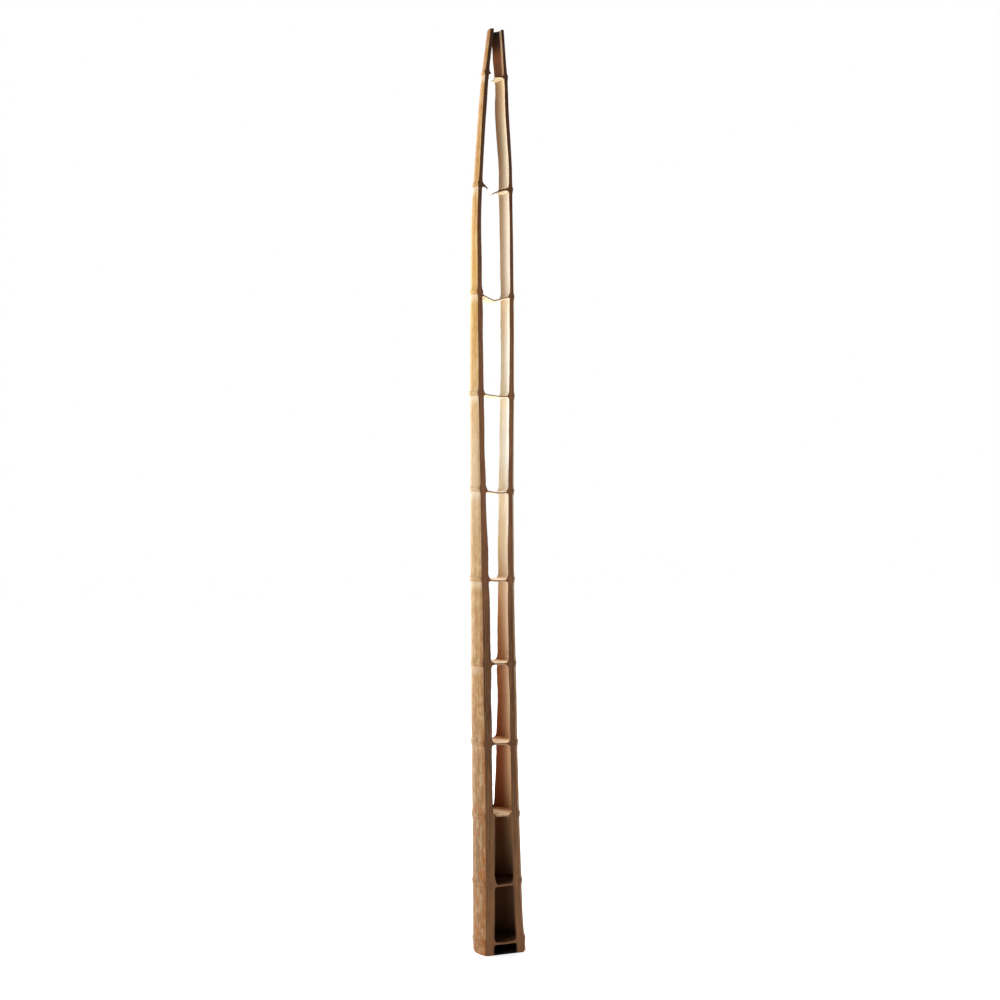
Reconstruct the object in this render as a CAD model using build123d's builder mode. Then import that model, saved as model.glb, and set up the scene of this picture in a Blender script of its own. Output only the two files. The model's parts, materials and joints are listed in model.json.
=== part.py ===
from build123d import *
import os
from math import atan2, cos, sin, sqrt

# A garden torch pole made from one culm of giant bamboo. The culm stands on its sawn butt.
# Saw cuts along the front and the back leave two side staves, which the culm's own
# diaphragms hold apart like the rungs of a ladder. Above the last whole diaphragm the
# staves are free and lean together to a point.
# Millimetres. +Z is up the culm, +X is to the right of the front cut, +Y is to the back.

# Driving dimensions
HEIGHT = 1800
NODE_HEIGHTS = [24, 137, 268, 409, 563, 727, 900, 1086, 1281, 1491, 1711]
NODE_TILT = [0, 0, 0, 2, 1.5, 2, 4.5, 4.5, 7, 6.7, 6]  # how much higher the left end is
CLOSED_NODES = 3  # the back wall is whole up to this node
WHOLE_DIAPHRAGMS = 9  # the diaphragms above are torn, so the staves are free there

# The culm's lower end sweeps to the right as it grew
UPPER_AXIS_X = -10.5
AXIS_Y = -5
BASE_SWEEP = 14.5
SWEEP_HEIGHT = 900
SWEEP_POWER = 1.6

# (height, value) profiles, straight between their points
OUTER_RADIUS = [(0, 49.8), (134, 47.2), (406, 44.8), (897, 42.4), (1171, 43), (1488, 40), (1800, 36)]
FRONT_CUT = [(0, 32), (330, 32.8), (643, 30.1), (976, 25.8), (1278, 22.3), (1582, 14.5), (1800, 9.6)]
BACK_CUT = [
    (0, 42.4),
    (330, 36.3),
    (486, 33),
    (799, 27.9),
    (976, 26.3),
    (1278, 24.6),
    (1514, 24.3),
    (1715, 23),
    (1800, 18.4),
]
LEFT_WALL = [(0, 13.2), (193, 12.2), (330, 10), (486, 10.8), (976, 8.8), (1387, 7.4), (1800, 7)]
RIGHT_WALL = [(0, 7.4), (193, 5.8), (330, 5.2), (799, 5.2), (976, 5.8), (1387, 5), (1582, 6.2), (1800, 5)]
# How far each free tip leans in
LEFT_LEAN = [
    (1400, 0),
    (1468, 1.9),
    (1517, 5),
    (1585, 8.8),
    (1644, 12.7),
    (1711, 18.5),
    (1754, 23.3),
    (1800, 29.2),
]
RIGHT_LEAN = [(1517, 0), (1585, 2.3), (1644, 5.5), (1699, 7.2), (1734, 9.4), (1800, 13.3)]

# Node rings: the ridge and the sheath scar below it, as (height from the node, growth outward)
RING_PROFILE = [(-10, 0), (-6, 1.1), (-2, 0.8), (2, 2.4), (6, 0.4), (10, 0)]
RING_HALF = 10
BUTT_RING_PROFILE = [(-7, 0.3), (-3, 1.2), (0, 1), (3, 2.2), (7, 0.4), (10, 0)]
BUTT_RING_DROP = 7
BUTT_THICKENING = 1  # the wall has grown inward by this at the foot of the lowest ring
NODE_THICKENING = 2.5  # and by this at each node
FLARE_LENGTH = 9  # over which it does so
WINDOW_START = 6  # the back window opens this far above the last closed node
WINDOW_LIP = 1.4  # least thickness of the back wall below that window
CUT_MARGIN = 0.35  # least depth of the bore behind the back cut
SECTION_SPACING = 60

# Diaphragms
DISH_DEPTH = [1, 2, 1.5, 1.5, 2, 3, 5, 5, 9]
PLATE_THICKNESS = [5, 5, 3.6, 3.6, 3.4, 3.2, 3, 3, 3]
RIM_GROWTH = 2.5  # upward, at the rim
RIM_FOOT_GROWTH = 1.7  # and downward
DISH_REACH = 3  # the dish is turned this much wider than the bore, then cut to it

# Torn diaphragms: the torn edge from the front cut to the back, as (distance in from the
# middle of the wall, distance back), and how far the edge droops
TORN_THICKNESS = 3
TORN_10_LEFT = ([(14, -15.5), (7, -11)], 7)
TORN_10_RIGHT = ([(41, -16), (20, -11), (11, 3)], 10)
TORN_11_LEFT = ([(6, -9), (4, -3)], 2)
TORN_11_RIGHT = ([(24, -10), (19, 2), (13, 14)], 4)

# The free tips start just above the last whole node, with room to flex
FLEX_GAP = 0.9

LEFT, RIGHT = -1, 1
SIDE_NAMES = {LEFT: "left", RIGHT: "right"}

os.makedirs("parts", exist_ok=True)


def at(profile, height):
    """The profile's value at a height, straight between its points."""
    if height <= profile[0][0]:
        return profile[0][1]
    for (z0, v0), (z1, v1) in zip(profile, profile[1:]):
        if height <= z1:
            return v0 + (v1 - v0) * (height - z0) / (z1 - z0)
    return profile[-1][1]


def axis_x(height, side):
    """X of the culm's axis, with the lean of that side's free tip."""
    sweep = BASE_SWEEP * max(0, 1 - height / SWEEP_HEIGHT) ** SWEEP_POWER
    lean = at(LEFT_LEAN, height) if side == LEFT else -at(RIGHT_LEAN, height)
    return UPPER_AXIS_X + sweep + lean


def bore_radius(height, thickening=0):
    """Radius of the hollow inside."""
    wall = (at(LEFT_WALL, height) + at(RIGHT_WALL, height)) / 2
    return at(OUTER_RADIUS, height) - wall - thickening


def closed_bore_radius(height, thickening=0):
    """The bore where the back is whole: some wall is left behind it."""
    return min(bore_radius(height, thickening), at(BACK_CUT, height) - WINDOW_LIP)


def open_bore_radius(height, thickening=0):
    """The bore where the back is cut open: at least as deep as the cut."""
    return max(bore_radius(height, thickening), at(BACK_CUT, height) + CUT_MARGIN)


def bore_x(height, side):
    """X of the bore's centre: the left wall is the thicker one."""
    return axis_x(height, side) + (at(LEFT_WALL, height) - at(RIGHT_WALL, height)) / 2


def chord(radius, cut):
    """Half the width of a circle at a cut this far from its centre."""
    return sqrt(max(radius**2 - cut**2, 0))


def ring_height(node, side):
    """Height of a node's ring on one side of the culm."""
    return NODE_HEIGHTS[node - 1] - side * NODE_TILT[node - 1] / 2


def save(part, name):
    part.label = name
    export_step(part, f"parts/{name}.step")


def levels_between(bottom, top, bore, thick_high=True):
    """(height, outer growth, bore radius) up a wall, thicker at the ends that meet a node."""
    low = bottom + FLARE_LENGTH
    high = top - FLARE_LENGTH
    steps = round((high - low) / SECTION_SPACING)
    levels = [(bottom, 0, bore(bottom, NODE_THICKENING))]
    for i in range(steps + 1):
        height = low + (high - low) * i / steps
        levels.append((height, 0, bore(height)))
    levels.append((top, 0, bore(top, NODE_THICKENING if thick_high else 0)))
    return levels


def make_side_wall(name, side, levels):
    """One side of the culm between the two cuts, lofted up its levels."""
    with BuildPart() as wall:
        for height, growth, bore in levels:
            front = at(FRONT_CUT, height)
            back = at(BACK_CUT, height)
            outer = at(OUTER_RADIUS, height) + growth
            x_out = axis_x(height, side)
            x_in = bore_x(height, side)
            with BuildSketch(Plane.XY.offset(height)):
                with BuildLine():
                    skin = ThreePointArc(
                        (x_out + side * chord(outer, front), AXIS_Y - front),
                        (x_out + side * outer, AXIS_Y),
                        (x_out + side * chord(outer, back), AXIS_Y + back),
                    )
                    hollow = ThreePointArc(
                        (x_in + side * chord(bore, front), AXIS_Y - front),
                        (x_in + side * bore, AXIS_Y),
                        (x_in + side * chord(bore, back), AXIS_Y + back),
                    )
                    Line(skin @ 0, hollow @ 0)
                    Line(skin @ 1, hollow @ 1)
                make_face()
        loft(ruled=True)
    save(wall.part, name)


def make_closed_wall(name, levels):
    """A C-shaped length of culm: open at the front, sawn flat but whole at the back."""
    with BuildPart() as wall:
        for height, growth, bore in levels:
            front = at(FRONT_CUT, height)
            back = at(BACK_CUT, height)
            outer = at(OUTER_RADIUS, height) + growth
            x_out = axis_x(height, LEFT)
            x_in = bore_x(height, LEFT)
            with BuildSketch(Plane.XY.offset(height)):
                with BuildLine():
                    sides = [
                        ThreePointArc(
                            (x_out + side * chord(outer, front), AXIS_Y - front),
                            (x_out + side * outer, AXIS_Y),
                            (x_out + side * chord(outer, back), AXIS_Y + back),
                        )
                        for side in (LEFT, RIGHT)
                    ]
                    Line(sides[0] @ 1, sides[1] @ 1)
                    hollow = ThreePointArc(
                        (x_in - chord(bore, front), AXIS_Y - front),
                        (x_in, AXIS_Y + bore),
                        (x_in + chord(bore, front), AXIS_Y - front),
                    )
                    Line(sides[0] @ 0, hollow @ 0)
                    Line(sides[1] @ 0, hollow @ 1)
                make_face()
        loft(ruled=True)
    save(wall.part, name)


def ring_levels(middle, profile, bore):
    """(height, outer growth, bore radius) over a node ring."""
    return [(middle + rise, growth, bore) for rise, growth in profile]


def make_diaphragm(node):
    """A whole diaphragm: a dished plate, thicker at its rim, sloping to the right."""
    middle = NODE_HEIGHTS[node - 1]
    closed = node <= CLOSED_NODES
    bore = closed_bore_radius if closed else open_bore_radius
    radius = bore(middle, NODE_THICKENING)
    front = at(FRONT_CUT, middle)
    back = at(BACK_CUT, middle)
    x_in = bore_x(middle, LEFT)
    slope = atan2(NODE_TILT[node - 1], 2 * radius)
    half = PLATE_THICKNESS[node - 1] / 2
    dish = DISH_DEPTH[node - 1]
    reach = radius + DISH_REACH
    tall = 2 * (half + dish + RIM_GROWTH + NODE_TILT[node - 1])
    with BuildPart() as diaphragm:
        with BuildSketch(Plane.XY.offset(middle - tall)):
            with BuildLine():
                left = (x_in - chord(radius, front), AXIS_Y - front)
                right = (x_in + chord(radius, front), AXIS_Y - front)
                if closed:
                    ThreePointArc(left, (x_in, AXIS_Y + radius), right)
                else:
                    back_left = (x_in - chord(radius, back), AXIS_Y + back)
                    back_right = (x_in + chord(radius, back), AXIS_Y + back)
                    ThreePointArc(left, (x_in - radius, AXIS_Y), back_left)
                    Line(back_left, back_right)
                    ThreePointArc(back_right, (x_in + radius, AXIS_Y), right)
                Line(right, left)
            make_face()
        extrude(amount=2 * tall)
        across = Plane(
            origin=(x_in, AXIS_Y, middle), x_dir=(cos(slope), 0, -sin(slope)), z_dir=(0, -1, 0)
        )
        with BuildSketch(across):
            with BuildLine():
                top = TangentArc((0, half - dish), (reach, half + RIM_GROWTH), tangent=(1, 0))
                foot = TangentArc((0, -half - dish), (reach, -half - RIM_FOOT_GROWTH), tangent=(1, 0))
                Line(top @ 0, foot @ 0)
                Line(top @ 1, foot @ 1)
            make_face()
        revolve(axis=Axis((x_in, AXIS_Y, middle), across.y_dir), mode=Mode.INTERSECT)
    save(diaphragm.part, f"diaphragm_{node:02d}")


def make_torn_diaphragm(node, side, torn_edge, droop):
    """What is left of a torn diaphragm on one stave: it droops towards its torn edge."""
    middle = ring_height(node, side)
    radius = open_bore_radius(middle, NODE_THICKENING)
    front = at(FRONT_CUT, middle)
    back = at(BACK_CUT, middle)
    x_in = bore_x(middle, side)
    reach = max(inward for inward, _ in torn_edge)
    half = TORN_THICKNESS / 2
    side_view = Plane(
        origin=(x_in + side * radius, AXIS_Y, middle), x_dir=(1, 0, 0), z_dir=(0, -1, 0)
    )
    with BuildPart() as remnant:
        with BuildSketch(Plane.XY.offset(middle - 2 * droop)):
            with BuildLine():
                rim = ThreePointArc(
                    (x_in + side * chord(radius, front), AXIS_Y - front),
                    (x_in + side * radius, AXIS_Y),
                    (x_in + side * chord(radius, back), AXIS_Y + back),
                )
                edge = [(x_in + side * (radius - inward), AXIS_Y + y) for inward, y in torn_edge]
                Polyline(rim @ 0, *edge, rim @ 1)
            make_face()
        extrude(amount=3 * droop)
        with BuildSketch(side_view):
            with BuildLine():
                top = TangentArc((0, half), (-side * reach, half - droop), tangent=(-side, 0))
                foot = TangentArc((0, -half), (-side * reach, -half - droop), tangent=(-side, 0))
                Line(top @ 0, foot @ 0)
                Line(top @ 1, foot @ 1)
            make_face()
        extrude(amount=front + back, both=True, mode=Mode.INTERSECT)
    save(remnant.part, f"torn_diaphragm_{node:02d}_{SIDE_NAMES[side]}")


# The butt and the two closed internodes
butt_top = NODE_HEIGHTS[0] - BUTT_RING_DROP
butt_growth = BUTT_RING_PROFILE[0][1]
butt_bore = closed_bore_radius(butt_top, BUTT_THICKENING)
make_closed_wall("butt_stub", [(0, 0, closed_bore_radius(0)), (butt_top, butt_growth, butt_bore)])
for node in range(1, CLOSED_NODES + 1):
    middle = NODE_HEIGHTS[node - 1]
    profile = BUTT_RING_PROFILE if node == 1 else RING_PROFILE
    if node == CLOSED_NODES:
        profile = RING_PROFILE[:-2] + [(WINDOW_START, 0)]
    rings = ring_levels(middle, profile, closed_bore_radius(middle, NODE_THICKENING))
    make_closed_wall(f"node_ring_{node:02d}", rings)
    if node < CLOSED_NODES:
        top = NODE_HEIGHTS[node] - RING_HALF
        levels = levels_between(middle + RING_HALF, top, closed_bore_radius)
        make_closed_wall(f"internode_wall_{node:02d}", levels)

# The staves, one length for each internode, and the rings between them
for side, side_name in SIDE_NAMES.items():
    for node in range(CLOSED_NODES, len(NODE_HEIGHTS) + 1):
        middle = ring_height(node, side)
        start = middle + (WINDOW_START if node == CLOSED_NODES else RING_HALF)
        if node > CLOSED_NODES:
            bore = open_bore_radius(middle, NODE_THICKENING)
            rings = ring_levels(middle, RING_PROFILE, bore)
            make_side_wall(f"node_ring_{node:02d}_{side_name}", side, rings)
        if node == WHOLE_DIAPHRAGMS:
            start += FLEX_GAP
        if node == len(NODE_HEIGHTS):
            levels = levels_between(start, HEIGHT, open_bore_radius, thick_high=False)
            make_side_wall(f"tip_{side_name}", side, levels)
        else:
            end = ring_height(node + 1, side) - RING_HALF
            levels = levels_between(start, end, open_bore_radius)
            make_side_wall(f"stave_{node:02d}_{side_name}", side, levels)

# Whole diaphragms, then the torn ones
for node in range(1, WHOLE_DIAPHRAGMS + 1):
    make_diaphragm(node)
make_torn_diaphragm(10, LEFT, *TORN_10_LEFT)
make_torn_diaphragm(10, RIGHT, *TORN_10_RIGHT)
make_torn_diaphragm(11, LEFT, *TORN_11_LEFT)
make_torn_diaphragm(11, RIGHT, *TORN_11_RIGHT)
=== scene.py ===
"""The looks of a bamboo torch pole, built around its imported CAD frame.

The pole is one grown culm, so a single description of its surface (skin, bore, two saw cuts,
node rings, lean) serves every piece. Each piece is the stretch of that surface between the
heights of its CAD node, so neighbours meet without a seam. Lengths are in millimetres until
a mesh is made.
"""

import json
from collections import namedtuple

import bpy
import numpy as np
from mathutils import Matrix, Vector


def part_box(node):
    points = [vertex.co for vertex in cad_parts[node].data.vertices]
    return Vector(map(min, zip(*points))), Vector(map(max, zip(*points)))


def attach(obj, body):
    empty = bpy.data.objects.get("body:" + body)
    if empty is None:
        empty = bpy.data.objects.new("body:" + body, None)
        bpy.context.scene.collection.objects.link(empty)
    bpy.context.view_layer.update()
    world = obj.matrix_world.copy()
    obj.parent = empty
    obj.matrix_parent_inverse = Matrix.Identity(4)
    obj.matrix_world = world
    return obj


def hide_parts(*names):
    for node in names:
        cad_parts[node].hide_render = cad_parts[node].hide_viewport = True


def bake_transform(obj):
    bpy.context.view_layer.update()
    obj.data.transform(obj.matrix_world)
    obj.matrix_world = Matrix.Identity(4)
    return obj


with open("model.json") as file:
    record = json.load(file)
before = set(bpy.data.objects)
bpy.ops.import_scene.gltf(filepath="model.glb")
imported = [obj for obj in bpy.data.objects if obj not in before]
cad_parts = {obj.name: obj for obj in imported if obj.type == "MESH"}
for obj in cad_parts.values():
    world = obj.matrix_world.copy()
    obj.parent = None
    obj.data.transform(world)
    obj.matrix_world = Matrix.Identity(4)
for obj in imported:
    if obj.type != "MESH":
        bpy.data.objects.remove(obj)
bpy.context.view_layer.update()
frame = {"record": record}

MM = 0.001
LEFT, RIGHT = -1, 1
SIDE_NAMES = {LEFT: "left", RIGHT: "right"}
HEIGHT = 1800
NODE_COUNT = 11
CLOSED_NODES = 3
WHOLE_DIAPHRAGMS = 9

# The culm, as in the CAD source: (height, value) points
AXIS_Y = -5
UPPER_AXIS_X = -10.5
BASE_SWEEP = 14.5
SWEEP_HEIGHT = 900
SWEEP_POWER = 1.6
OUTER_RADIUS = [(0, 49.8), (134, 47.2), (406, 44.8), (897, 42.4), (1171, 43), (1488, 40), (1800, 36)]
FRONT_CUT = [(0, 32), (330, 32.8), (643, 30.1), (976, 25.8), (1278, 22.3), (1582, 14.5), (1800, 9.6)]
BACK_CUT = [
    (0, 42.4),
    (330, 36.3),
    (486, 33),
    (799, 27.9),
    (976, 26.3),
    (1278, 24.6),
    (1514, 24.3),
    (1715, 23),
    (1800, 19.4),
]
LEFT_WALL = [(0, 13.2), (193, 12.2), (330, 10), (486, 10.8), (976, 8.8), (1387, 7.4), (1800, 7)]
RIGHT_WALL = [(0, 7.4), (193, 5.8), (330, 5.2), (799, 5.2), (976, 5.8), (1387, 5), (1582, 6.2), (1800, 5)]
LEFT_LEAN = [
    (1400, 0),
    (1468, 1.9),
    (1517, 5),
    (1585, 8.8),
    (1644, 12.7),
    (1711, 18.5),
    (1754, 23.3),
    (1800, 29.2),
]
RIGHT_LEAN = [(1517, 0), (1585, 2.3), (1644, 5.5), (1699, 7.2), (1734, 9.4), (1800, 13.3)]
WINDOW_LIP = 1.4

# How far each tip's own back cut leaves that of the CAD: the right tip is left wider behind the
# left one, which is cut back to clear it
BACK_SHIFT = {
    LEFT: [(1700, 0), (1800, -6)],
    RIGHT: [(1650, 0), (1703, -1.2), (1752, 1.7), (1800, 3)],
}

# Where a ring's height stands above the foot of its CAD piece, on the closed part of the culm
FIRST_RING_RISE = 7
CLOSED_RING_RISE = 10

# Unevenness of the saw cuts: (seed, wavelength, height)
FRONT_WAVES = [(11, 160, 0.35), (12, 23, 0.1)]
BACK_WAVES = [(13, 140, 0.3), (14, 19, 0.1)]

# A node ring from outside: (height, width, how far above the node) of each swelling
RIDGE = (1.3, 2.6, 1.6)
SHEATH_SCAR = (0.9, 1.2, -4.0)
SWELL = (0.6, 10, 0)

# The wall thickens inside, near a node
FLARE = 2.0
FLARE_ABOVE = 5
FLARE_BELOW = 4
FLARE_POWER = 1.6

# The foot: its rim is worn, its skin wrinkled, and the right side spreads
WORN = 1.2
WORN_REACH = 2.2
WRINKLE = 0.35
WRINKLE_REACH = 9
SPREAD = 3.0
SPREAD_REACH = 40
RIGHT_EXTRA = 0.7

# Mesh density
SKIN_COLUMNS = 34
BORE_COLUMNS = 26
CUT_COLUMNS = 7
CLOSED_BORE_COLUMNS = 2 * BORE_COLUMNS + 12
BACK_COLUMNS = 3 * CUT_COLUMNS
FAR_STEP = 4.0
NEAR_STEP = 0.7
NEAR_REACH = 11.0
NEAR_FADE = 20
FOOT_STEP = 1.0
FOOT_REACH = 14
SHORTEST_STEP = 0.3
CORNER_ROUND = 0.8
BORE_SIZE = 30
CULM_SIZE = 43


def at(profile, height):
    """A smooth curve through a profile's points, level beyond its ends.

    A profile whose first value is 0 starts without a slope.
    """
    z, v = np.array(profile, float).T
    slope = np.gradient(v, z)
    if v[0] == 0:
        slope[0] = 0
    h = np.clip(np.asarray(height, float), z[0], z[-1])
    i = np.clip(np.searchsorted(z, h, side="right") - 1, 0, len(z) - 2)
    span = z[i + 1] - z[i]
    t = (h - z[i]) / span
    return (
        v[i] * (1 + 2 * t) * (1 - t) ** 2
        + slope[i] * span * t * (1 - t) ** 2
        + v[i + 1] * t**2 * (3 - 2 * t)
        + slope[i + 1] * span * t**2 * (t - 1)
    )


def ripple(x, seed, wavelength, amplitude):
    """A smooth irregular wave along x."""
    rng = np.random.default_rng(seed)
    total = np.zeros_like(np.asarray(x, float))
    for _ in range(5):
        length = wavelength * rng.uniform(0.6, 1.8)
        total += rng.uniform(0.4, 1) * np.sin(2 * np.pi * x / length + rng.uniform(0, 6.28))
    return amplitude * total / 2


def ring_height(node, side):
    """Height of a node's ring on one side, from the frame."""
    if node == 1:
        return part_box("node_ring_01")[0].z / MM + FIRST_RING_RISE
    if node <= CLOSED_NODES:
        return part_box(f"node_ring_{node:02d}")[0].z / MM + CLOSED_RING_RISE
    low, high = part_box(f"node_ring_{node:02d}_{SIDE_NAMES[side]}")
    return (low.z + high.z) / 2 / MM


RINGS = {
    side: np.array([ring_height(node, side) for node in range(1, NODE_COUNT + 1)])
    for side in (LEFT, RIGHT)
}


def ring_heights_at(across):
    """Heights of all the rings at a share across the culm: -1 is its left, 1 its right."""
    across = np.asarray(across, float)[..., None]
    return (RINGS[LEFT] * (1 - across) + RINGS[RIGHT] * (1 + across)) / 2


def node_distance(z, across):
    """Signed distance up from the nearest node ring."""
    d = np.asarray(z, float)[..., None] - ring_heights_at(across)
    return np.take_along_axis(d, np.abs(d).argmin(-1)[..., None], -1)[..., 0]


def axis_x(z, side):
    """The middle of a side's skin: the culm sweeps to the right at its foot, and the tips lean in."""
    sweep = BASE_SWEEP * np.maximum(0, 1 - z / SWEEP_HEIGHT) ** SWEEP_POWER
    lean = at(LEFT_LEAN, z) if side == LEFT else -at(RIGHT_LEAN, z)
    return UPPER_AXIS_X + sweep + lean


def bore_x(z, side):
    """The middle of a side's bore, nearer to the thin right wall."""
    return axis_x(z, side) + (at(LEFT_WALL, z) - at(RIGHT_WALL, z)) / 2


def front_cut(z):
    """How far in front of the axis the culm is sawn off."""
    return at(FRONT_CUT, z) + sum(ripple(z, *wave) for wave in FRONT_WAVES)


def back_cut(z, side=LEFT):
    """How far behind the axis a side is sawn off. The sides differ in the tips only."""
    return at(BACK_CUT, z) + at(BACK_SHIFT[side], z) + sum(ripple(z, *wave) for wave in BACK_WAVES)


def swelling(d, shape, wander=0.0):
    height, width, above = shape
    return height * np.exp(-(((d - above - wander) / width) ** 2))


def growth(d, angle):
    """How far the node ring stands out: a rounded ridge over a sharp sheath scar."""
    wander = 0.5 * np.sin(3 * angle + 1) + 0.3 * np.sin(7 * angle)
    return swelling(d, RIDGE, wander) + swelling(d, SHEATH_SCAR, 0.6 * wander) + swelling(d, SWELL)


def skin_radius(z, side, angle):
    """Radius of the skin round its own axis, with its node rings and its unevenness."""
    d = node_distance(z, side * np.cos(angle))
    uneven = ripple(z, 21, 210, 0.25)
    uneven = uneven + 0.25 * np.sin(2 * angle + z / 140) + 0.12 * np.sin(5 * angle + z / 60)
    wrinkles = WRINKLE * np.sin(z * 1.3 + np.sin(4 * angle)) * np.exp(-((z / WRINKLE_REACH) ** 2))
    foot = -WORN * np.exp(-((z / WORN_REACH) ** 2))
    if side == RIGHT:
        spread = RIGHT_EXTRA + SPREAD * np.exp(-((z / SPREAD_REACH) ** 2))
        foot = foot + spread * np.cos(angle)
    return at(OUTER_RADIUS, z) + growth(d, angle) + uneven + wrinkles + foot


def flare(d):
    """How much thicker the wall is inside, near a node: longer above it than below."""
    reach = np.where(d > 0, FLARE_ABOVE, FLARE_BELOW)
    return FLARE * np.exp(-((np.abs(d) / reach) ** FLARE_POWER))


def bore_radius(z, side, angle, opened):
    """Radius of the hollow. Where the back is cut open, it's never inside the back cut."""
    wall = (at(LEFT_WALL, z) + at(RIGHT_WALL, z)) / 2
    d = node_distance(z, side * np.cos(angle))
    uneven = ripple(z, 31, 120, 0.3) + 0.3 * np.sin(3 * angle + z / 90)
    radius = at(OUTER_RADIUS, z) - wall - flare(d) + uneven
    if opened:
        return np.maximum(radius, back_cut(z, side) + 0.3)
    return np.minimum(radius, back_cut(z) - WINDOW_LIP)


def place(center, radius, angle, side):
    """Points at a radius and an angle from a side's middle. Angle 0 is outwards, 90 degrees is back."""
    return np.stack([center + side * radius * np.cos(angle), AXIS_Y + radius * np.sin(angle)], -1)


def line(a, b, count):
    """Points on straight lines, one for each row, that stop short of the rounded corners."""
    t = np.linspace(0, 1, count)[None, :, None]
    span = np.linalg.norm(b - a, axis=-1)[:, None, None]
    trim = np.minimum(CORNER_ROUND / np.maximum(span, 1e-6), 0.3)
    return a[:, None] + (b - a)[:, None] * (trim + (1 - 2 * trim) * t)


def corner(point, before, after):
    """A corner's own point, drawn in so that the corner is rounded."""
    towards = (before - point) + (after - point)
    length = np.maximum(np.linalg.norm(towards, axis=-1, keepdims=True), 1e-6)
    return (point + towards / length * CORNER_ROUND * 0.3)[:, None]


def arc(z, side, center, radius_at, columns):
    """An arc of one side, front to back, and the two corners where the saw cuts end it."""
    ends = []
    for cut in (-front_cut(z), back_cut(z, side)):
        angle = np.arcsin(np.clip(cut / at(OUTER_RADIUS, z), -1, 1))
        for _ in range(4):
            radius = radius_at(angle[:, None])[:, 0]
            angle = np.arcsin(np.clip(cut / radius, -1, 1))
        ends.append((angle, radius))
    (front_angle, front_radius), (back_angle, back_radius) = ends
    room = np.maximum(back_angle - front_angle, 0)
    inset = np.minimum(CORNER_ROUND / np.maximum(front_radius, 1), room / 4)
    first, last = front_angle + inset, back_angle - inset
    angles = first[:, None] + (last - first)[:, None] * np.linspace(0, 1, columns)
    points = place(center[:, None], radius_at(angles), angles, side)
    corners = (
        place(center, front_radius, front_angle, side),
        place(center, back_radius, back_angle, side),
    )
    return points, corners


def skin_arc(z, side):
    return arc(z, side, axis_x(z, side), lambda angle: skin_radius(z[:, None], side, angle), SKIN_COLUMNS)


def bore_arc(z, side, opened):
    def radius_at(angle):
        return bore_radius(z[:, None], side, angle, opened)

    return arc(z, side, bore_x(z, side), radius_at, BORE_COLUMNS)


def side_loop(z, side):
    """Closed section loops of a side stave, and the zone of each of its columns."""
    skin, (skin_front, skin_back) = skin_arc(z, side)
    bore, (bore_front, bore_back) = bore_arc(z, side, True)
    bore = bore[:, ::-1]
    back = line(skin_back, bore_back, CUT_COLUMNS)
    front = line(bore_front, skin_front, CUT_COLUMNS)
    parts = [
        (skin, "skin"),
        (corner(skin_back, skin[:, -1], back[:, 0]), "cut"),
        (back, "cut"),
        (corner(bore_back, back[:, -1], bore[:, 0]), "bore"),
        (bore, "bore"),
        (corner(bore_front, bore[:, -1], front[:, 0]), "cut"),
        (front, "cut"),
        (corner(skin_front, front[:, -1], skin[:, 0]), "skin"),
    ]
    return join_loop(parts)


def closed_loop(z):
    """Closed section loops of the C-shaped foot, whose back is sawn flat but whole."""
    left, (left_front, left_back) = skin_arc(z, LEFT)
    right, (right_front, right_back) = skin_arc(z, RIGHT)
    in_left = bore_arc(z, LEFT, False)[1][0]
    in_right = bore_arc(z, RIGHT, False)[1][0]
    center = bore_x(z, LEFT)
    across = np.linspace(0, 1, CLOSED_BORE_COLUMNS)
    angle_left = np.arctan2(in_left[:, 1] - AXIS_Y, in_left[:, 0] - center)
    angle_left = np.where(angle_left < 0, angle_left + 2 * np.pi, angle_left)
    angle_right = np.arctan2(in_right[:, 1] - AXIS_Y, in_right[:, 0] - center)
    inset = CORNER_ROUND / BORE_SIZE
    angle = (angle_right + inset)[:, None] + (angle_left - angle_right - 2 * inset)[:, None] * across
    radius = bore_radius(z[:, None], RIGHT, angle, False)
    bore = place(center[:, None], radius, angle, RIGHT)
    right = right[:, ::-1]
    back = line(left_back, right_back, BACK_COLUMNS)
    front_right = line(right_front, in_right, CUT_COLUMNS)
    front_left = line(in_left, left_front, CUT_COLUMNS)
    parts = [
        (left, "skin"),
        (corner(left_back, left[:, -1], back[:, 0]), "cut"),
        (back, "cut"),
        (corner(right_back, back[:, -1], right[:, 0]), "skin"),
        (right, "skin"),
        (corner(right_front, right[:, -1], front_right[:, 0]), "cut"),
        (front_right, "cut"),
        (corner(in_right, front_right[:, -1], bore[:, 0]), "bore"),
        (bore, "bore"),
        (corner(in_left, bore[:, -1], front_left[:, 0]), "cut"),
        (front_left, "cut"),
        (corner(left_front, front_left[:, -1], left[:, 0]), "skin"),
    ]
    return join_loop(parts)


def join_loop(parts):
    """One row of points from several, and the zone of each of its columns."""
    points = np.concatenate([p for p, _ in parts], 1)
    zones = sum(([zone] * p.shape[1] for p, zone in parts), [])
    return points, zones


def rows_between(low, high, side):
    """Heights of a piece's rows, close together near a node."""
    rings = RINGS[side]
    z = [low]
    while z[-1] < high:
        near = np.abs(rings - z[-1]).min()
        step = NEAR_STEP + (FAR_STEP - NEAR_STEP) * np.clip((near - NEAR_REACH) / NEAR_FADE, 0, 1)
        if z[-1] < FOOT_REACH:
            step = FOOT_STEP
        z.append(z[-1] + step)
    z = np.array(z[:-1] + [high])
    if z[-1] - z[-2] < SHORTEST_STEP and len(z) > 2:
        z = np.delete(z, -2)
    return z


# Materials ---------------------------------------------------------------------------------


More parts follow.
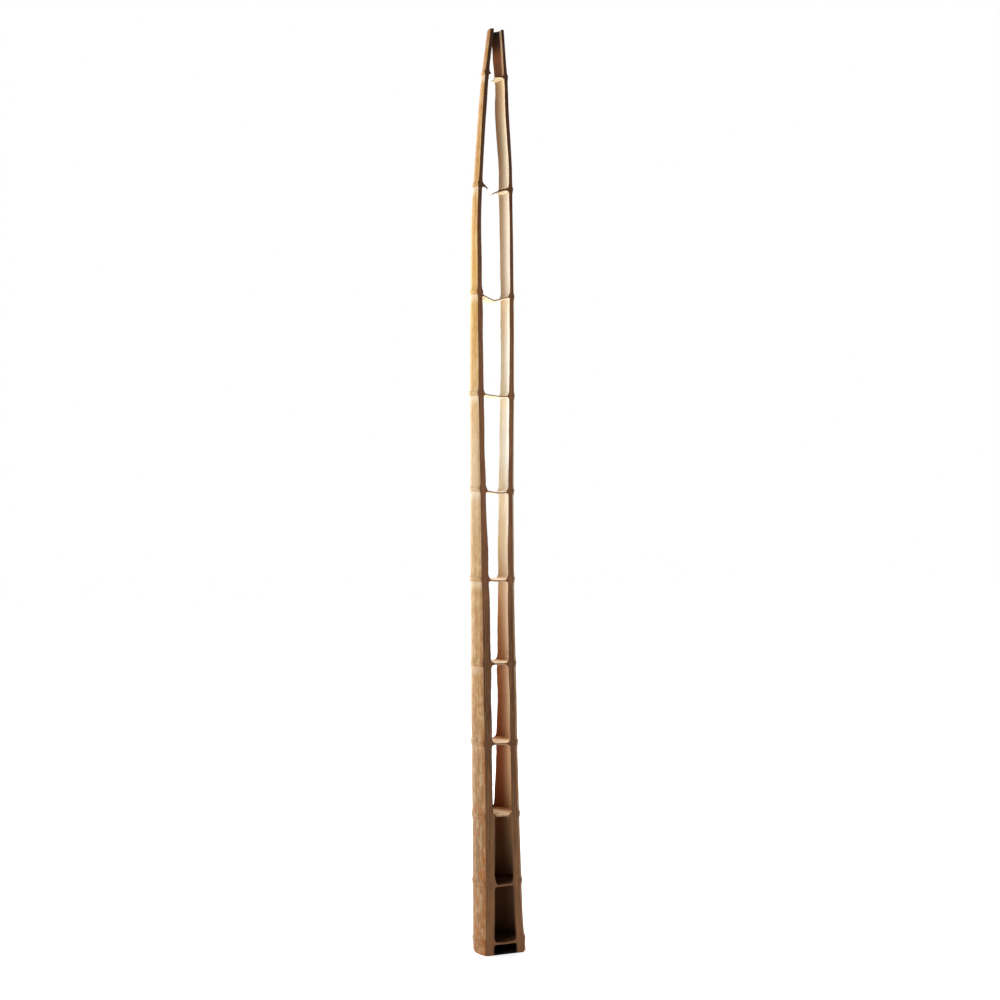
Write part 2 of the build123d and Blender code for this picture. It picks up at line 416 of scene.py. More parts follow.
class Graph:
    """A material's node tree, with short calls for the nodes it uses."""

    def __init__(self, name, roughness, specular=0.5):
        self.material = bpy.data.materials.new(name)
        self.material.use_nodes = True
        self.tree = self.material.node_tree
        self.shader = self.tree.nodes["Principled BSDF"]
        self.shader.inputs["Roughness"].default_value = roughness
        self.shader.inputs["Specular IOR Level"].default_value = specular

    def node(self, kind, **settings):
        made = self.tree.nodes.new(kind)
        for key, value in settings.items():
            setattr(made, key, value)
        return made

    def put(self, socket, value):
        if isinstance(value, bpy.types.NodeSocket):
            self.tree.links.new(value, socket)
        else:
            socket.default_value = value

    def attribute(self, name, output="Fac"):
        made = self.node("ShaderNodeAttribute", attribute_name=name)
        return made.outputs[output]

    def rest_axis(self, axis):
        """One coordinate of the rest position, in millimetres."""
        split = self.node("ShaderNodeSeparateXYZ")
        self.put(split.inputs[0], self.attribute("rest", "Vector"))
        return split.outputs[axis]

    def height_share(self):
        return self.math("DIVIDE", self.rest_axis("Z"), HEIGHT)

    def math(self, operation, a, b):
        made = self.node("ShaderNodeMath", operation=operation)
        self.put(made.inputs[0], a)
        self.put(made.inputs[1], b)
        return made.outputs[0]

    def times(self, first, *others):
        for other in others:
            first = self.math("MULTIPLY", first, other)
        return first

    def span(self, value, low, high):
        """0 at low, 1 at high, smooth between. low may be above high."""
        made = self.node("ShaderNodeMapRange", interpolation_type="SMOOTHSTEP")
        if low > high:
            low, high = high, low
            made.inputs["To Min"].default_value = 1
            made.inputs["To Max"].default_value = 0
        self.put(made.inputs["Value"], value)
        made.inputs["From Min"].default_value = low
        made.inputs["From Max"].default_value = high
        return made.outputs["Result"]

    def band(self, value, middle, width):
        """1 at middle, falling to 0 at width either side."""
        away = self.math("ABSOLUTE", self.math("SUBTRACT", value, middle), 0)
        return self.span(away, width, 0)

    def noise(self, stretch, detail=4.0, roughness=0.55, offset=0.0):
        """Noise over the rest position in millimetres, times a stretch for each axis."""
        scaled = self.node("ShaderNodeVectorMath", operation="MULTIPLY_ADD")
        self.put(scaled.inputs[0], self.attribute("rest", "Vector"))
        scaled.inputs[1].default_value = stretch
        scaled.inputs[2].default_value = (offset, offset, offset)
        made = self.node("ShaderNodeTexNoise")
        self.put(made.inputs["Vector"], scaled.outputs[0])
        made.inputs["Scale"].default_value = 1
        made.inputs["Detail"].default_value = detail
        made.inputs["Roughness"].default_value = roughness
        return made.outputs["Fac"]

    def ramp(self, fac, stops):
        made = self.node("ShaderNodeValToRGB")
        self.put(made.inputs[0], fac)
        points = made.color_ramp.elements
        while len(points) < len(stops):
            points.new(0.5)
        for point, (where, colour) in zip(points, stops):
            point.position = where
            point.color = (*linear(colour), 1)
        return made.outputs["Color"]

    def mix(self, fac, a, b, mode="MIX"):
        made = self.node("ShaderNodeMix", data_type="RGBA", blend_type=mode)
        self.put(made.inputs[0], fac)
        for socket, value in ((made.inputs[6], a), (made.inputs[7], b)):
            self.put(socket, (*linear(value), 1) if isinstance(value, str) else value)
        return made.outputs[2]

    def tint(self, base, colour, mask, amount=1.0):
        """Move the base towards a colour where the mask is 1."""
        return self.mix(self.times(mask, amount), base, colour)

    def stain(self, base, colour, mask, amount=1.0):
        """Multiply the base by a colour where the mask is 1."""
        return self.tint(base, self.mix(1.0, base, colour, "MULTIPLY"), mask, amount)

    def bump(self, height, distance, strength, normal=None):
        made = self.node("ShaderNodeBump")
        made.inputs["Strength"].default_value = strength
        made.inputs["Distance"].default_value = distance * MM
        self.put(made.inputs["Height"], height)
        if normal is not None:
            self.put(made.inputs["Normal"], normal)
        return made.outputs[0]

    def finish(self, colour, roughness=None, normal=None):
        self.put(self.shader.inputs["Base Color"], colour)
        if roughness is not None:
            self.put(self.shader.inputs["Roughness"], roughness)
        if normal is not None:
            self.put(self.shader.inputs["Normal"], normal)
        return self.material


def linear(colour):
    """Linear red, green, blue of an sRGB colour written as rrggbb."""
    parts = [int(colour[i : i + 2], 16) / 255 for i in (0, 2, 4)]
    return [c / 12.92 if c <= 0.04045 else ((c + 0.055) / 1.055) ** 2.4 for c in parts]


def skin_material():
    """Weathered grey-brown low down, straw in the middle and golden brown towards the tips."""
    g = Graph("bamboo_skin", 0.6, 0.12)
    share = g.height_share()
    near = g.attribute("near")
    edge = g.attribute("edge")
    tones = [
        (0, "865c34"),
        (0.12, "866644"),
        (0.27, "a07e55"),
        (0.4, "a8885e"),
        (0.53, "bca483"),
        (0.65, "ba955a"),
        (0.77, "be9550"),
        (0.84, "a87a37"),
        (0.94, "ae7e3a"),
        (1, "956026"),
    ]
    base = g.ramp(share, tones)
    streak = g.noise((0.22, 0.22, 0.0035), 5, 0.6)
    base = g.stain(base, "d9a06c", g.span(streak, 0.4, 0.7), 0.5)
    pale = g.noise((0.13, 0.13, 0.055), 6, 0.66, 7.0)
    base = g.tint(base, "dccaa6", g.span(pale, 0.42, 0.72), 0.34)
    # Rust and grey patches on the lower half
    low = g.span(share, 0.5, 0.2)
    blotch = g.noise((0.12, 0.12, 0.055), 6, 0.7, 19.0)
    base = g.tint(base, "a05a1c", g.times(g.span(blotch, 0.53, 0.63), low), 0.6)
    soot = g.noise((0.2, 0.2, 0.09), 6, 0.72, 31.0)
    base = g.tint(base, "6d6154", g.times(g.span(soot, 0.5, 0.66), low), 0.5)
    rust = g.noise((0.1, 0.1, 0.02), 4, 0.6, 43.0)
    base = g.tint(base, "8a4c20", g.times(g.span(edge, 9, 0.5), g.span(rust, 0.3, 0.65), low), 0.7)
    # Beside the saw cuts: painted light high up, painted shade in the middle
    painted_light_and_shade_beside_cut = g.span(edge, 8, 1)
    upper = g.times(g.span(share, 0.68, 0.78), g.span(share, 0.97, 0.88))
    base = g.tint(base, "f0d29c", g.times(painted_light_and_shade_beside_cut, upper), 0.2)
    middle = g.times(g.span(share, 0.2, 0.3), g.span(share, 0.62, 0.54))
    base = g.tint(base, "6b4a2a", g.times(painted_light_and_shade_beside_cut, middle), 0.26)
    # At a node: the wax band below it, the sheath scar, and painted shade in the crease under the ridge
    wax = g.times(g.span(near, -26, -9), g.span(near, -3.6, -5), g.span(share, 0.1, 0.6))
    base = g.tint(base, "e6dac4", wax, 0.4)
    base = g.tint(base, "7b5230", g.band(near, -5.2, 1.0), 0.55)
    # Painted shade in the crease under the ridge
    base = g.tint(base, "8f6238", g.band(near, -1.6, 1.5), 0.25)
    fine = g.noise((0.9, 0.9, 0.012), 3, 0.6, 3.0)
    pits = g.noise((0.5, 0.5, 0.25), 5, 0.7, 5.0)
    bump = g.bump(fine, 0.25, 0.35)
    bump = g.bump(pits, 0.25, 0.25, bump)
    rough = g.math("ADD", g.times(streak, 0.25), 0.48)
    return g.finish(base, rough, bump)


def cut_material():
    """Sawn wall: brown, with long fibres that show less towards the dark tips."""
    g = Graph("sawn_bamboo", 0.75, 0.25)
    share = g.height_share()
    tones = [
        (0, "6b462a"),
        (0.1, "5c3f26"),
        (0.2, "482d1a"),
        (0.3, "472d19"),
        (0.45, "69422a"),
        (0.65, "6a452d"),
        (0.8, "4a2816"),
        (0.95, "3b2114"),
        (1, "1d0a04"),
    ]
    base = g.ramp(share, tones)
    fibre = g.noise((1.1, 1.1, 0.012), 4, 0.65, 2.0)
    fibres = g.math("SUBTRACT", 0.45, g.times(g.span(share, 0.65, 0.95), 0.3))
    base = g.tint(base, "a9774a", g.span(fibre, 0.4, 0.65), fibres)
    dark = g.noise((0.5, 0.5, 0.02), 3, 0.6, 9.0)
    base = g.tint(base, "4c2f1c", g.span(dark, 0.5, 0.75), 0.5)
    base = g.tint(base, "4a2d1a", g.span(g.attribute("edge"), 1.6, 0.2), 0.6)
    saw = g.noise((0.05, 0.05, 0.9), 2, 0.5, 17.0)
    bump = g.bump(fibre, 0.5, 0.6)
    bump = g.bump(saw, 0.2, 0.2, bump)
    return g.finish(base, None, bump)


def bore_material():
    """The hollow: pale at the front, with painted shade towards the back, in the foot and at the very top.
    """
    g = Graph("bamboo_bore", 0.65, 0.08)
    share = g.height_share()
    y = g.rest_axis("Y")
    # The painted shade lies deeper where the culm is wide, and above the top node it reaches the front as a
    # painted shadow of the tips
    depth = g.math("SUBTRACT", y, g.times(g.span(share, 0.45, 0.2), 4.0))
    above_top_node = g.span(share, 0.949, 0.952)
    back = g.math("MAXIMUM", g.span(depth, -3, 24), g.times(above_top_node, g.span(y, -4, 2)))
    # Painted light on the front of the hollow and painted shade at its back: lit and shaded copies of one
    # colour, both dark in the foot
    lit_front_tones = [
        (0, "6e503c"),
        (0.07, "8e705a"),
        (0.14, "d8b68e"),
        (0.19, "f8dab2"),
        (0.27, "f0d8b8"),
        (0.36, "fff2de"),
        (0.54, "fffdf8"),
        (0.65, "fffaf0"),
        (0.74, "f3e9dc"),
        (0.81, "e9dac4"),
        (0.87, "dcd0b6"),
        (0.945, "f4dcb6"),
        (0.952, "c49c78"),
        (0.98, "d3b088"),
        (1, "b18e6e"),
    ]
    shaded_back_tones = [
        (0, "4d311c"),
        (0.07, "5a3820"),
        (0.14, "6a3f24"),
        (0.19, "824a2e"),
        (0.27, "8b5231"),
        (0.36, "a4734c"),
        (0.45, "dcc6a2"),
        (0.54, "eadcc2"),
        (0.65, "cdb994"),
        (0.74, "bd9c74"),
        (0.81, "b48f66"),
        (0.87, "916441"),
        (0.945, "8e5e38"),
        (0.952, "976c4d"),
        (0.974, "9a653e"),
        (0.986, "4a2a18"),
        (1, "1e100a"),
    ]
    base = g.mix(back, g.ramp(share, lit_front_tones), g.ramp(share, shaded_back_tones))
    streak = g.noise((0.35, 0.35, 0.006), 5, 0.6, 4.0)
    base = g.stain(base, "e2cbaa", g.span(streak, 0.45, 0.7), 0.4)
    cloud = g.noise((0.05, 0.05, 0.015), 5, 0.6, 23.0)
    base = g.stain(base, "efe2cc", g.span(cloud, 0.5, 0.75), 0.3)
    return g.finish(base, None, g.bump(streak, 0.3, 0.4))


def pith_material():
    """Diaphragms: cream pith, with painted shade in the foot and at the back of the lower ones."""
    g = Graph("diaphragm_pith", 0.8, 0.2)
    share = g.height_share()
    # Painted shade: the diaphragms inside the closed foot are dark
    tones = [
        (0, "5a3d27"),
        (0.1, "5c3e28"),
        (0.14, "f2dcbc"),
        (0.35, "f4e0c2"),
        (0.5, "f2e4cc"),
        (1, "f0dcb8"),
    ]
    base = g.ramp(share, tones)
    cloud = g.noise((0.12, 0.12, 0.12), 5, 0.65, 6.0)
    base = g.stain(base, "d2ae84", g.span(cloud, 0.45, 0.7), 0.5)
    # Painted shade at the back of the lower diaphragms
    base = g.stain(base, "b87c52", g.times(g.span(g.rest_axis("Y"), -8, 22), g.span(share, 0.42, 0.3)), 0.8)
    grain = g.noise((0.9, 0.9, 0.9), 4, 0.7, 8.0)
    bump = g.bump(grain, 0.4, 0.5)
    bump = g.bump(cloud, 1.2, 0.5, bump)
    return g.finish(base, None, bump)


MATERIALS = {
    "skin": skin_material(),
    "cut": cut_material(),
    "bore": bore_material(),
    "pith": pith_material(),
}


# Meshes ------------------------------------------------------------------------------------


def make_piece(name, vertices, faces, zones, near, edge, node, body):
    """A mesh object in metres that stands for a CAD node and rides on its body."""
    mesh = bpy.data.meshes.new(name)
    mesh.from_pydata((vertices * MM).tolist(), [], faces)
    kinds = sorted(set(zones))
    for kind in kinds:
        mesh.materials.append(MATERIALS[kind])
    mesh.polygons.foreach_set("material_index", [kinds.index(z) for z in zones])
    mesh.polygons.foreach_set("use_smooth", [len(f) == 4 for f in faces])
    rest = mesh.attributes.new("rest", "FLOAT_VECTOR", "POINT")
    rest.data.foreach_set("vector", vertices.astype(np.float32).ravel())
    for key, values in (("near", near), ("edge", edge)):
        made = mesh.attributes.new(key, "FLOAT", "POINT")
        made.data.foreach_set("value", np.asarray(values, np.float32).ravel())
    mesh.validate()
    mesh.update()
    piece = bpy.data.objects.new(name, mesh)
    bpy.context.scene.collection.objects.link(piece)
    if body is not None:
        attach(piece, body)
    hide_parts(node)
    return piece


def loft(points, heights, zones):
    """Vertices, faces and zones of a closed tube of section loops, capped at both ends."""
    rows, columns = heights.shape
    vertices = np.concatenate([points, heights[..., None]], -1).reshape(-1, 3)
    x, y = points[0].T
    turns_left = np.sum(x * np.roll(y, -1) - np.roll(x, -1) * y) > 0
    faces, kinds = [], []
    for r in range(rows - 1):
        for c in range(columns):
            n = (c + 1) % columns
            quad = [r * columns + c, r * columns + n, (r + 1) * columns + n, (r + 1) * columns + c]
            faces.append(quad if turns_left else quad[::-1])
            kinds.append(zones[c])
    foot = list(range(columns))
    top = [(rows - 1) * columns + c for c in foot]
    faces += [foot[::-1], top] if turns_left else [foot, top[::-1]]
    kinds += ["cut", "cut"]
    return vertices, faces, kinds


def edge_distance(points, zones):
    """For each point, how far it is along its own zone from that zone's nearest end."""
    rows, columns = points.shape[:2]
    result = np.zeros((rows, columns))
    start = 0
    while start < columns:
        stop = start
        while stop + 1 < columns and zones[stop + 1] == zones[start]:
            stop += 1
        steps = np.linalg.norm(np.diff(points[:, start : stop + 1], axis=1), axis=-1)
        along = np.concatenate([np.zeros((rows, 1)), np.cumsum(steps, 1)], 1)
        result[:, start : stop + 1] = np.minimum(along, along[:, -1:] - along)
        start = stop + 1
    return result


def wall_piece(node, body, side=None, low=None, end=None):
    """A stretch of the culm's wall, between the heights of its CAD node.

    Without a side it's a stretch of the closed foot. An end is how the tip's own end is sawn.
    """
    box_low, box_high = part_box(node)
    low = box_low.z / MM if low is None else low
    z = rows_between(low, box_high.z / MM, side or LEFT)
    points, zones = closed_loop(z) if side is None else side_loop(z, side)
    heights = np.repeat(z[:, None], points.shape[1], 1)
    if end is not None:
        share = np.clip((z - (z[-1] - END_REACH)) / END_REACH, 0, 1)[:, None]
        behind = points[..., 1] - points[-1, :, 1].mean()
        heights = heights + share * (end.rise + behind * end.slope)
    vertices, faces, kinds = loft(points, heights, zones)
    across = np.clip((points[..., 0] - UPPER_AXIS_X) / CULM_SIZE, -1, 1) if side is None else side
    near = node_distance(heights, across * np.ones_like(heights))
    edge = edge_distance(points, zones)
    return make_piece(f"bamboo_{node}", vertices, faces, kinds, near, edge, node, body)


def body_of(node):
    bodies = frame["record"]["behaviour"]["bodies"]
    return next(body for body, members in bodies.items() if node in members)


def flexing_stave(side):
    """The lowest length of a free tip, between the culm and the tip's body, on no body and with its placing
    baked in.
    """
    side_name = SIDE_NAMES[side]
    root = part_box(f"node_ring_{WHOLE_DIAPHRAGMS:02d}_{side_name}")[1].z
    stave = f"stave_{WHOLE_DIAPHRAGMS:02d}_{side_name}"
    piece = wall_piece(stave, None, side, low=root / MM)
    x = axis_x(root / MM, side) * MM
    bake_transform(piece)


CLOSED_PIECES = (
    "butt_stub",
    "node_ring_01",
    "internode_wall_01",
    "node_ring_02",
    "internode_wall_02",
    "node_ring_03",
)
for node in CLOSED_PIECES:
    wall_piece(node, "culm")

# How the tips are sawn off, over the last stretch: how far the end rises, and its slope to the back
TipEnd = namedtuple("TipEnd", "rise slope")
TIP_ENDS = {LEFT: TipEnd(0.7, 0), RIGHT: TipEnd(2.2, 0.11)}
END_REACH = 14

for side, side_name in SIDE_NAMES.items():
    for number in range(CLOSED_NODES, NODE_COUNT + 1):
        if number > CLOSED_NODES:
            ring = f"node_ring_{number:02d}_{side_name}"
            wall_piece(ring, body_of(ring), side)
        if number == WHOLE_DIAPHRAGMS:
            flexing_stave(side)
        elif number < NODE_COUNT:
            stave = f"stave_{number:02d}_{side_name}"
            wall_piece(stave, body_of(stave), side)
        else:
            tip = f"tip_{side_name}"
            wall_piece(tip, body_of(tip), side, end=TIP_ENDS[side])


# Diaphragms, from the lowest: sag at the front edge, share across of the lowest point, thickness,
# how much of the rings' slope they follow, and how round the sag is
Plate = namedtuple("Plate", "sag low_share thick follow roundness", defaults=(1, 1.6))
DIAPHRAGMS = [
    Plate(2.4, 0.45, 4.2),
    Plate(3.0, 0.4, 4.2),
    Plate(-1.0, 0.5, 2.2),
    Plate(0.6, 0.5, 3.4),
    Plate(-0.4, 0.5, 3.4),
    Plate(3.0, 0.5, 3.0),
    Plate(5.2, 0.5, 2.8),
    Plate(3.6, 0.6, 2.6),
    Plate(13, 0.45, 2.8, 0.2, 1.15),
]
RING_SHARES = [0.12, 0.25, 0.38, 0.5, 0.6, 0.68, 0.75, 0.81, 0.86, 0.9, 0.935, 0.965, 0.985, 1.0]
RIM_POINTS = 132
FILLET_UP = 2.6
FILLET_DOWN = 2.0
FILLET_SHARE = 0.8
EMBED = 0.5
CUT_GAP = 0.15  # a plate stops this short of the saw cuts
CUT_ROUND = 0.4
CUT_EDGE = 3  # the edge distance of a broken or sawn plate edge, clear of the dark border


def diaphragm_outline(middle, opened):
    """The plate's middle, mean radius and rim, a little inside the walls, and where a cut ends it."""
    z = np.array([middle])
    center = bore_x(z, LEFT)[0]
    front = front_cut(z)[0] - CUT_GAP
    back = back_cut(z)[0] - CUT_GAP
    angle = np.linspace(0, 2 * np.pi, RIM_POINTS, endpoint=False) - np.pi / 2
    side = np.where(np.cos(angle) >= 0, RIGHT, LEFT)
    local = np.arctan2(np.sin(angle), np.abs(np.cos(angle)))
    radius = np.array([bore_radius(z, s, np.array([a]), opened)[0] for s, a in zip(side, local)]) + EMBED
    x = radius * np.cos(angle)
    y = radius * np.sin(angle)
    scale = np.where(y < -front, front / np.maximum(-y, 1e-6), 1)
    if opened:
        scale = np.where(y > back, back / np.maximum(y, 1e-6), scale)
    return center, radius.mean(), np.stack([center + x * scale, AXIS_Y + y * scale], -1), scale < 1


def disc_faces(count):
    """Faces and zones of a plate: two hubs, then the upper rings of points, then the lower ones."""
    faces, kinds = [], []
    rim = RIM_POINTS
    for layer in (0, 1):
        first = 2 + layer * count * rim
        for c in range(rim):
            n = (c + 1) % rim
            layer_faces = [[layer, first + c, first + n]]
            for r in range(count - 1):
                inner, outer = first + r * rim, first + (r + 1) * rim
                layer_faces.append([inner + c, outer + c, outer + n, inner + n])
            faces += layer_faces if layer == 0 else [face[::-1] for face in layer_faces]
            kinds += ["pith"] * count
    top = 2 + (count - 1) * rim
    foot = top + count * rim
    for c in range(rim):
        n = (c + 1) % rim
        faces.append([top + c, foot + c, foot + n, top + n])
        kinds.append("cut")
    return faces, kinds


def diaphragm_piece(number):
    """A whole diaphragm: a dished plate with fillets where it grows out of the walls."""
    plate = DIAPHRAGMS[number - 1]
    left, right = RINGS[LEFT][number - 1], RINGS[RIGHT][number - 1]
    middle = (left + right) / 2
    tilt = plate.follow * (left - right)
    center, radius, outline, sawn = diaphragm_outline(middle, number > CLOSED_NODES)
    hub = np.array([center, AXIS_Y])
    grid = np.array([hub + (outline - hub) * share for share in RING_SHARES])
    x = (grid[..., 0] - center) / radius
    y = (grid[..., 1] - AXIS_Y) / radius
    deep = 2 * plate.low_share - 1

    def heights(x, y, up):
        away = np.where(x < deep, (deep - x) / (1 + deep), (x - deep) / (1 - deep))
        sag = plate.sag * (1 - np.clip(away, 0, 1) ** plate.roundness)
        dish = sag * (1 - 0.5 * np.clip(y, 0, 1) ** 2)
        gap = (1 - np.hypot(x, y)) * radius
        reach = FILLET_UP if up > 0 else FILLET_DOWN
        fillet = FILLET_SHARE * reach * np.clip(1 - gap / reach, 0, 1) ** 2
        rough = 0.25 * np.sin(7 * x + number) * np.cos(6 * y + 2 * number)
        return middle - tilt / 2 * x - dish + rough + up * (plate.thick / 2 + fillet)

    upper = heights(x, y, 1)
    lower = heights(x, y, -1)
    upper[-1, sawn] -= CUT_ROUND
    lower[-1, sawn] += CUT_ROUND
    origin = np.zeros(1)
    vertices = [np.array([[*hub, heights(origin, origin, up)[0]]]) for up in (1, -1)]
    for z in (upper, lower):
        vertices.append(np.concatenate([grid, z[..., None]], -1).reshape(-1, 3))
    vertices = np.concatenate(vertices)
    faces, kinds = disc_faces(len(grid))
    node = f"diaphragm_{number:02d}"
    near = np.zeros(len(vertices))
    edge = np.full(len(vertices), CUT_EDGE)
    piece = make_piece(f"bamboo_{node}", vertices, faces, kinds, near, edge, node, "culm")
    piece.data.polygons.foreach_set("use_smooth", [True] * len(faces))


for number in range(1, WHOLE_DIAPHRAGMS + 1):
    diaphragm_piece(number)


# Torn diaphragms: (share from front to back, reach in from the wall) along the torn edge, then
# how far the edge droops, the thickness and the material
Torn = namedtuple("Torn", "edge droop thick stuff")
TORN = {
    (10, LEFT): Torn([(0, 10), (0.08, 9), (0.16, 5), (0.5, 3), (1, 2)], 8, 2.2, "cut"),
    (10, RIGHT): Torn(
        [(0, 39), (0.05, 37), (0.09, 25), (0.14, 17), (0.3, 11), (0.6, 6), (1, 3)], 14.5, 5, "pith"
    ),
    (11, LEFT): Torn([(0, 2.6), (0.15, 2.4), (0.4, 2), (1, 1.5)], 1.5, 2.0, "cut"),
    (11, RIGHT): Torn([(0, 16), (0.15, 16), (0.4, 14), (0.7, 11), (1, 7)], 2.5, 3.2, "pith"),
}
TORN_ROWS = 72
TORN_STEPS = 16
TORN_ROUGHNESS = 0.12
TORN_THINNING = 0.72
TORN_FILLET = 1.8
TORN_FILLET_REACH = 4


def sheet_faces(rows, columns, side, stuff):
    """Faces and zones of a sheet: its upper grid of points, then its lower one."""
    faces, kinds = [], []
    lower = rows * columns

    def add(quad, kind):
        faces.append(quad if side == LEFT else quad[::-1])
        kinds.append(kind)

    for r in range(rows - 1):
        for c in range(columns - 1):
            a, b = r * columns + c, (r + 1) * columns + c
            add([a, a + 1, b + 1, b], stuff)
            add([b + lower, b + 1 + lower, a + 1 + lower, a + lower], stuff)
        wall, edge = r * columns, (r + 1) * columns - 1
        add([wall + columns, wall + columns + lower, wall + lower, wall], "cut")
        add([edge, edge + lower, edge + columns + lower, edge + columns], stuff)
    for c in range(columns - 1):
        last = (rows - 1) * columns + c
        add([c + lower, c + 1 + lower, c + 1, c], "cut")
        add([last, last + 1, last + 1 + lower, last + lower], "cut")
    return faces, kinds


def torn_piece(number, side):
    """The remnant of a torn diaphragm: it thins and droops towards its ragged edge."""
    torn = TORN[number, side]
    middle = RINGS[side][number - 1]
    bore = bore_arc(np.array([middle]), side, True)[0][0]
    share = np.linspace(0, 1, TORN_ROWS)
    wall = np.stack([np.interp(share, np.linspace(0, 1, len(bore)), bore[:, i]) for i in (0, 1)], -1)
    wall[:, 0] += side * EMBED
    rng = np.random.default_rng(number * 10 + side)
    reach = np.interp(share, *np.array(torn.edge, float).T)
    reach = reach * (1 + TORN_ROUGHNESS * rng.standard_normal(TORN_ROWS)) + EMBED
    longest = max(reached for _, reached in torn.edge)
    t = np.linspace(0, 1, TORN_STEPS)
    distance = reach[:, None] * t
    x = wall[:, :1] - side * distance
    y = wall[:, 1:] + 0.8 * np.sin(distance / 4 + number) * t
    y[0] = np.minimum(y[0], y[1] - 0.2)
    fall = torn.droop * (distance / longest) ** 1.4
    half = torn.thick / 2 * (1 - TORN_THINNING * t**0.8)
    half = half + TORN_FILLET * np.clip(1 - distance / TORN_FILLET_REACH, 0, 1) ** 2
    level = middle - fall + 0.3 * np.sin(share * 21)[:, None] * t
    sheets = [np.stack([x, y, z], -1).reshape(-1, 3) for z in (level + half, level - half)]
    vertices = np.concatenate(sheets)
    faces, kinds = sheet_faces(TORN_ROWS, TORN_STEPS, side, torn.stuff)
    node = f"torn_diaphragm_{number}_{SIDE_NAMES[side]}"
    near = np.zeros(len(vertices))
    edge = np.full(len(vertices), CUT_EDGE)
    make_piece(f"bamboo_{node}", vertices, faces, kinds, near, edge, node, body_of(node))


for number, side in TORN:
    torn_piece(number, side)


# Camera, light and floor -------------------------------------------------------------------

CAMERA_AZIMUTH = np.radians(-20)
CAMERA_DISTANCE = 2.718
CAMERA_HEIGHT = 0.881
CAMERA_LENS = 50
CAMERA_SENSOR = 36
POLE_MIDDLE = Vector((0, 0, 0.9))
AIM_RIGHT = 0.0164  # the picture's centre is this far right of the upper culm's axis

right = Vector((np.cos(CAMERA_AZIMUTH), np.sin(CAMERA_AZIMUTH), 0))
back = Vector((np.sin(CAMERA_AZIMUTH), -np.cos(CAMERA_AZIMUTH), 0))
aim = Vector((UPPER_AXIS_X * MM, AXIS_Y * MM, CAMERA_HEIGHT)) + right * AIM_RIGHT
camera = bpy.data.objects.new("camera", bpy.data.cameras.new("camera"))
camera.data.lens = CAMERA_LENS
camera.data.sensor_width = CAMERA_SENSOR
camera.location = aim + back * CAMERA_DISTANCE
camera.rotation_euler = (-back).to_track_quat("-Z", "Y").to_euler()
bpy.context.scene.collection.objects.link(camera)
bpy.context.scene.camera = camera


def area_light(name, location, size, power, colour):
    """A rectangular lamp that points at the middle of the pole."""
    data = bpy.data.lights.new(name, "AREA")
    data.shape = "RECTANGLE"
    data.size, data.size_y = size
    data.energy = power
    data.color = colour
    lamp = bpy.data.objects.new(name, data)
    lamp.location = location
    lamp.rotation_euler = (POLE_MIDDLE - Vector(location)).to_track_quat("-Z", "Y").to_euler()
    lamp.visible_camera = False
    bpy.context.scene.collection.objects.link(lamp)


area_light("key", (-2.45, -1.1, 1.3), (0.9, 2.4), 44, (1, 0.99, 0.97))
area_light("rim", (-0.5, 2.6, 1.2), (1.2, 2.4), 92, (1, 1, 1))

FLOOR_HALF = 9
HOLLOW_RADIUS = 0.043  # the floor is painted dark, with no glow, inside the hollow foot: a painted shadow
HOLLOW_FRONT = (AXIS_Y - FRONT_CUT[0][1]) * MM
PAINTED_SHADOW_EDGE = 0.001
SQUARE = ((-1, -1), (1, -1), (1, 1), (-1, 1))

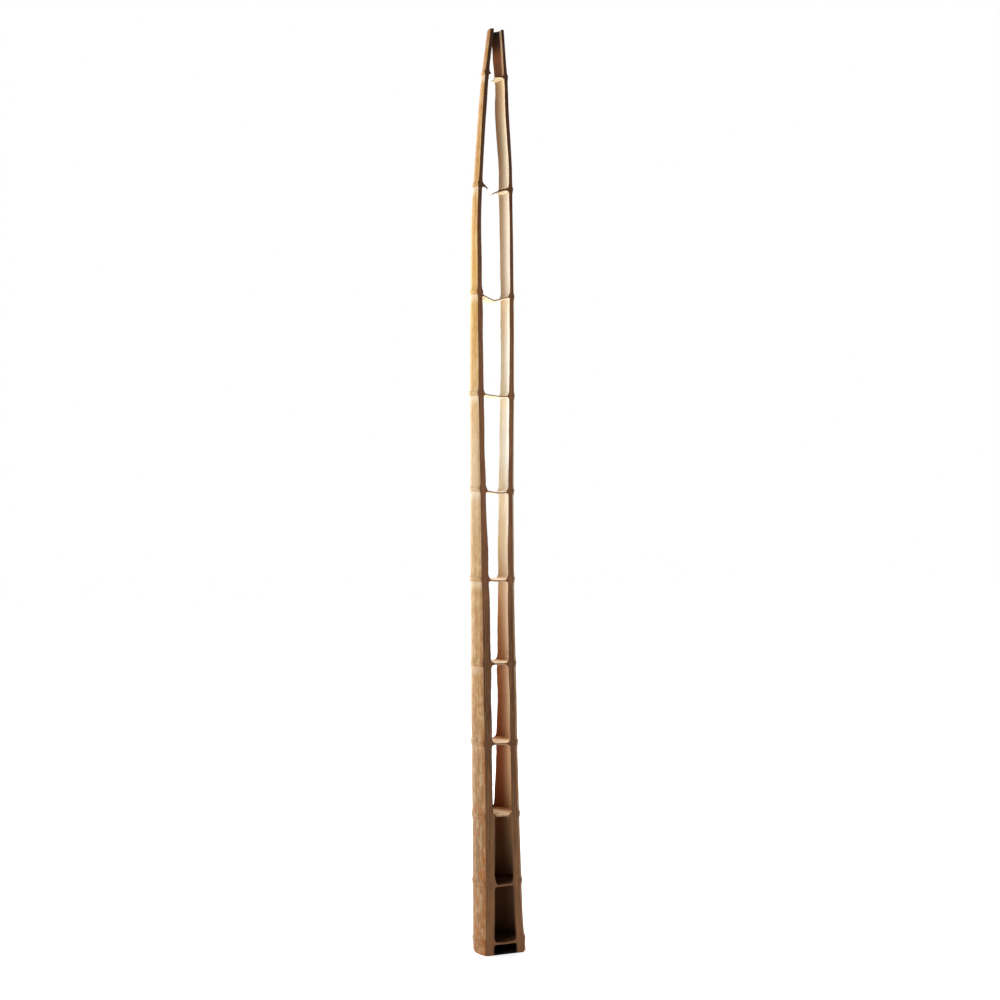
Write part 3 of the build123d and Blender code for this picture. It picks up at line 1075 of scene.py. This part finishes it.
floor_mesh = bpy.data.meshes.new("floor")
floor_mesh.from_pydata([(x * FLOOR_HALF, y * FLOOR_HALF, 0) for x, y in SQUARE], [], [(0, 1, 2, 3)])
floor = bpy.data.objects.new("floor", floor_mesh)
bpy.context.scene.collection.objects.link(floor)
paint = Graph("floor_paint", 0.9)
floor_place = paint.node("ShaderNodeTexCoord").outputs["Object"]
from_hollow = paint.node("ShaderNodeVectorMath", operation="DISTANCE")
paint.put(from_hollow.inputs[0], floor_place)
from_hollow.inputs[1].default_value = (bore_x(0, LEFT) * MM, AXIS_Y * MM, 0)
floor_split = paint.node("ShaderNodeSeparateXYZ")
paint.put(floor_split.inputs[0], floor_place)
# Painted shadow: inside the hollow foot the floor is dark and does not glow
painted_hollow_shadow = paint.times(
    paint.span(from_hollow.outputs["Value"], HOLLOW_RADIUS + PAINTED_SHADOW_EDGE, HOLLOW_RADIUS),
    paint.span(floor_split.outputs["Y"], HOLLOW_FRONT - PAINTED_SHADOW_EDGE, HOLLOW_FRONT + PAINTED_SHADOW_EDGE),
)
paint.put(paint.shader.inputs["Emission Color"], paint.mix(painted_hollow_shadow, "ffffff", "000000"))
paint.shader.inputs["Emission Strength"].default_value = 0.7
floor_mesh.materials.append(paint.finish(paint.mix(painted_hollow_shadow, "eeeeee", "161008")))

# A white studio: bright at the left and the back, dim at the front and the right
LIGHT_FROM = Vector((-0.28, 0.95, 0.1)).normalized()
world = bpy.data.worlds.new("studio")
world.use_nodes = True
world_nodes, world_links = world.node_tree.nodes, world.node_tree.links
sky = world_nodes.new("ShaderNodeTexCoord")
facing = world_nodes.new("ShaderNodeVectorMath")
facing.operation = "DOT_PRODUCT"
facing.inputs[1].default_value = LIGHT_FROM
glow = world_nodes.new("ShaderNodeMapRange")
glow.interpolation_type = "SMOOTHSTEP"
for socket, value in (("From Min", 0), ("From Max", 1), ("To Min", 0.15), ("To Max", 1.7)):
    glow.inputs[socket].default_value = value
seen = world_nodes.new("ShaderNodeLightPath")
strength = world_nodes.new("ShaderNodeMix")
strength.inputs["B"].default_value = 1
world_links.new(sky.outputs["Generated"], facing.inputs[0])
world_links.new(facing.outputs["Value"], glow.inputs["Value"])
world_links.new(seen.outputs["Is Camera Ray"], strength.inputs["Factor"])
world_links.new(glow.outputs["Result"], strength.inputs["A"])
world_links.new(strength.outputs["Result"], world_nodes["Background"].inputs["Strength"])
world_nodes["Background"].inputs["Color"].default_value = (1, 1, 1, 1)
bpy.context.scene.world = world
bpy.context.scene.view_settings.view_transform = "Standard"
